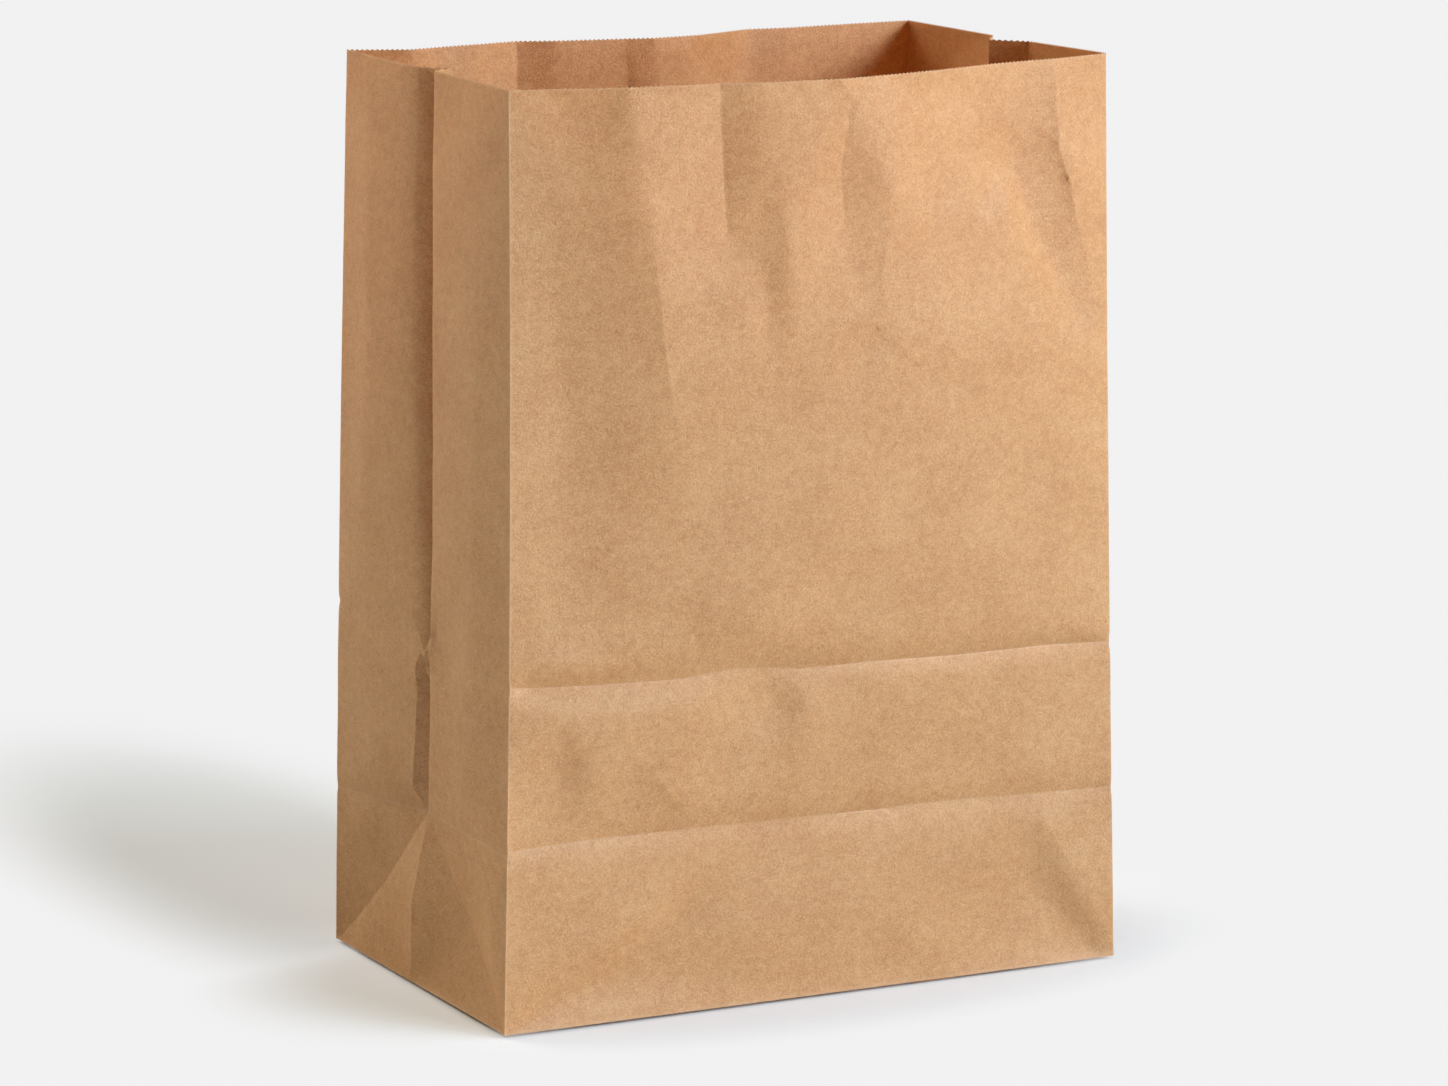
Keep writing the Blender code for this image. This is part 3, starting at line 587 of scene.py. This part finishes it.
right_worn = [
    [(52, top, -9.6), (53, 252, -9.6), (55, 205, -9.2), (57, 170, -8), (58, 137, -5), (59, 105, -3.4), (59, 75, -4),
     (59, 55.5, -2.6)],
    [(0, 55.5, 0), (30, 56, -0.5), (59, 55.5, -2.6), (90, 56, -0.5), (118, 56, 0)],
]
right_crisp = [
    [(0, 0, 0), (30, 27, -1.9), (59, 55.5, -2.6), (88, 27, -1.9), (118, 0, 0)],
    [(59, 55.5, -2.6), (58, 27, 0.4), (57, 0, 0)],
]
right_soft = [
    [(42, top, -1.6), (44, 205, -1.4), (48, 137, -0.8), (52, 75, -0.7), (59, 55.5, -2.6)],
    [(63, top, -1.6), (66, 205, -1.4), (65, 137, -0.8), (64, 75, -0.7), (59, 55.5, -2.6)],
    [(22, 272, 0.9), (24, 140, 0.9), (28, 80, 0.6)],
    [(92, 272, 1.2), (93, 140, 1.2), (90, 80, 0.7)],
]

# The back panel has buckled inwards at the mouth in two long waves with an upright crease between.
back_worn = [
    [(0, 50.5, 0), (40, 55, -0.6), (120, 56, -0.8), (180, 56.3, -0.6), (208, 56.5, 0)],
]
back_crisp = [
    [(60, top, -1.0), (61, 250, -0.8), (62, 215, -0.5)],
    [(96, top, -8.6), (99, 262, -6.5), (97, 235, -4.6)],
]
back_soft = [
    [(19, top, -7.5), (21, 237, -4.5), (25, 185, -1.2)],
    [(62, 215, -0.5), (63, 185, 0.0)],
    [(72, top, -5.0), (72, 262, -3.8), (74, 225, -2.2)],
    [(105, top, -10.6), (107, 262, -9.0), (106, 235, -6.4), (102, 190, -2.2)],
    [(118, 276, -9.6), (122, 240, -5.4), (118, 190, -1.6)],
    [(124, top, -9.0), (134, 268, -4.0), (146, 240, -1.2)],
    [(146, top, -0.9), (147, 262, -1.2), (146, 240, -1.2), (146, 190, -0.3)],
    [(160, top, -2.5), (158, 240, -1.6)],
    [(186, top, -1.0), (188, 262, -0.8), (188, 220, -0.4)],
    [(5, 62, 0.3), (80, 62, 0.5), (203, 62, 0.3)],
    [(5, 44, 0.3), (80, 47, 0.4), (203, 50, 0.3)],
]

base_lap = 12
long_flap = bag_depth / 2 + base_lap
panels = [
    (Panel("front", "front_left", "front_right", 208, (0, -1), levels["front"], long_flap, 1, front_worn, front_crisp,
           front_soft, bellied, 2.3, 1.5), 1, 0),
    (Panel("right_gusset", "front_right", "back_right", 118, (1, 0), levels["gusset"], long_flap, 0, right_worn, right_crisp,
           right_soft, flat, 2.8, 7.5), 1, 208),
    (Panel("back", "back_left", "back_right", 208, (0, 1), levels["back"], long_flap, 1, back_worn, back_crisp, back_soft,
           flat, 2.8, 3.5, (45, 29)), -1, 326),
    (Panel("left_gusset", "front_left", "back_left", 118, (-1, 0), levels["gusset"], long_flap, 0, left_worn, left_crisp,
           left_soft, flat, 2.3, 5.5), -1, 534),
]

# The panels are one sheet: they share the points of the upright folds. Then the sheet gets its
# thickness, with an outside, an inside and the cut edge between them.
middle, wear_and_highlight, over, under, faces, sheet = [], [], [], [], [], []
known = {}
for panel, turn, offset in panels:
    ids = []
    for spot, shared, rubbed_and_highlit, above, below in zip(
            panel.place, panel.at_corner, panel.wear_and_highlight, panel.over, panel.under):
        if shared in known:
            ids.append(known[shared])
            continue
        if shared:
            known[shared] = len(middle)
        ids.append(len(middle))
        middle.append(spot)
        wear_and_highlight.append(rubbed_and_highlit)
        over.append(above)
        under.append(below)
    ids = np.array(ids)
    order = panel.faces[:, ::turn]
    faces.append(ids[order])
    sheet.append((panel.places + (offset, 0))[order])
middle = np.array(middle)
wear_and_highlight = np.array(wear_and_highlight)
faces = np.concatenate(faces)
sheet = np.concatenate(sheet)

a, b, c = (middle[faces[:, i]] for i in range(3))
face_normal = np.cross(b - a, c - a)
face_normal /= np.maximum(np.linalg.norm(face_normal, axis=1), 1e-12)[:, None]
normal = np.zeros_like(middle)
lean = np.zeros(len(middle))
for i in range(3):
    here, ahead, behind = (middle[faces[:, (i + k) % 3]] for k in range(3))
    first, second = ahead - here, behind - here
    cosine = (first * second).sum(1) / (np.linalg.norm(first, axis=1) * np.linalg.norm(second, axis=1))
    angle = np.arccos(np.clip(cosine, -1, 1))
    np.add.at(normal, faces[:, i], face_normal * angle[:, None])
normal /= np.maximum(np.linalg.norm(normal, axis=1), 1e-12)[:, None]
uses = np.bincount(faces.ravel(), minlength=len(middle))
for i in range(3):
    lean += np.bincount(faces[:, i], (face_normal * normal[faces[:, i]]).sum(1), len(middle))
lean = np.maximum(lean / uses, 0.5)
half = normal * (paper / 2 / lean)[:, None]
points = np.concatenate([
    middle + half + normal * np.array(over)[:, None], middle - half + normal * np.array(under)[:, None]]) * MM
count = len(middle)
sides = {}
for face in faces:
    for i in range(3):
        pair = (face[i], face[(i + 1) % 3])
        sides[pair] = sides.get(pair, 0) + 1
rim_faces = []
for low, high in sides:
    if (high, low) not in sides:
        rim_faces.append((high, low, low + count))
        rim_faces.append((high, low + count, high + count))
rim_faces = np.array(rim_faces)
inner = faces[:, ::-1] + count
every = np.concatenate([faces, inner, rim_faces])

bag_mesh = bpy.data.meshes.new("paper_bag_sheet")
bag_mesh.from_pydata(points.tolist(), [], every.tolist())
on_sheet = np.concatenate([
    np.dstack([sheet, np.zeros(sheet.shape[:2])]),
    np.dstack([sheet[:, ::-1], np.full(sheet.shape[:2], 40.0)]),
    np.zeros((len(rim_faces), 3, 3)),
])
layer = bag_mesh.attributes.new("on_sheet", "FLOAT_VECTOR", "CORNER")
layer.data.foreach_set("vector", on_sheet.astype(np.float32).ravel())
# The inside carries half of the outside's pale fold line, which is partly rubbing and partly painted highlight.
layer = bag_mesh.attributes.new("fold_wear", "FLOAT", "POINT")
layer.data.foreach_set("value", np.concatenate([wear_and_highlight, wear_and_highlight * 0.5]).astype(np.float32))
bag_mesh.shade_smooth()
bag_mesh.set_sharp_from_angle(angle=math.radians(50))
bag = bpy.data.objects.new("paper_bag_sheet", bag_mesh)
bpy.context.scene.collection.objects.link(bag)

# The finish: unbleached kraft, a cloudy brown with short fibres in every direction, a few dark specks
# of bark, and a paler line along the folds and the rim, partly rubbing and partly painted highlight.
kraft = bpy.data.materials.new("kraft_paper")
paint = node_tree(kraft)
spot = paint.node("Attribute", {"attribute_name": "on_sheet"}, out="Vector")
cloud = paint.node("TexNoise", {}, {"Vector": spot, "Scale": 0.045, "Detail": 3.0, "Roughness": 0.55})
blotch = paint.node("TexNoise", {}, {"Vector": spot, "Scale": 0.3, "Detail": 2.0, "Roughness": 0.6})
grain = paint.node("TexNoise", {}, {"Vector": spot, "Scale": 1.5, "Detail": 3.0, "Roughness": 0.65})
fibre = paint.node("TexNoise", {}, {"Vector": spot, "Scale": 0.75, "Detail": 1.5, "Distortion": 2.2})
tone = (cloud - 0.5) * 0.4 + (blotch - 0.5) * 0.4 + (grain - 0.5) * 0.9 + (fibre - 0.5) * 0.75 + 0.5
colour = paint.node("ValToRGB", {"stops": [
    (0.2, (0.50, 0.250, 0.096)), (0.5, (0.635, 0.347, 0.153)), (0.8, (0.75, 0.455, 0.230))]}, {"Fac": tone})
# Painted highlight, with some rubbing: a pale tan laid along the folds and the rim.
rubbed_and_highlit = paint.node("Attribute", {"attribute_name": "fold_wear"}, out="Fac")
colour = paint.node("Mix", {"data_type": "RGBA"}, {
    "Factor": rubbed_and_highlit * (0.15 + grain * 0.6), 6: colour, 7: (0.76, 0.53, 0.34, 1)}, out=2)
for size, share, radius, strength in ((24, 0.14, 0.42, 0.75), (9, 0.3, 0.2, 0.45)):
    near = paint.node("TexVoronoi", {}, {"Vector": spot, "Scale": 1 / size}, out="Distance")
    lot = paint.node("TexVoronoi", {}, {"Vector": spot, "Scale": 1 / size}, out="Color")
    lot = paint.node("SeparateColor", {}, {"Color": lot}, out="Red")
    bark = paint.node("MapRange", {}, {
        "Value": near, "From Min": radius / size, "From Max": 0.6 * radius / size, "To Min": 0.0, "To Max": strength})
    picked = paint.node("Math", {"operation": "LESS_THAN"}, {0: lot, 1: share})
    colour = paint.node("Mix", {"data_type": "RGBA"}, {
        "Factor": bark * picked, 6: colour, 7: (0.16, 0.075, 0.03, 1)}, out=2)
surface = grain * 0.35 + fibre * 0.5 + blotch * 0.3
relief = paint.node("Bump", {}, {"Height": surface, "Strength": 0.6, "Distance": 0.0004})
finish = paint.node("BsdfPrincipled", {}, {
    "Base Color": colour, "Roughness": 0.5 + (grain - 0.5) * 0.2, "Normal": relief, "Specular IOR Level": 0.5,
    "Subsurface Weight": 0.38, "Subsurface Radius": (1.0, 0.6, 0.35), "Subsurface Scale": 0.0006})
paint.node("OutputMaterial", {}, {"Surface": finish})
bag_mesh.materials.append(kraft)
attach(bag, "root")
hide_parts("paper_bag")

print("bag triangles", len(every), "middle points", len(middle))
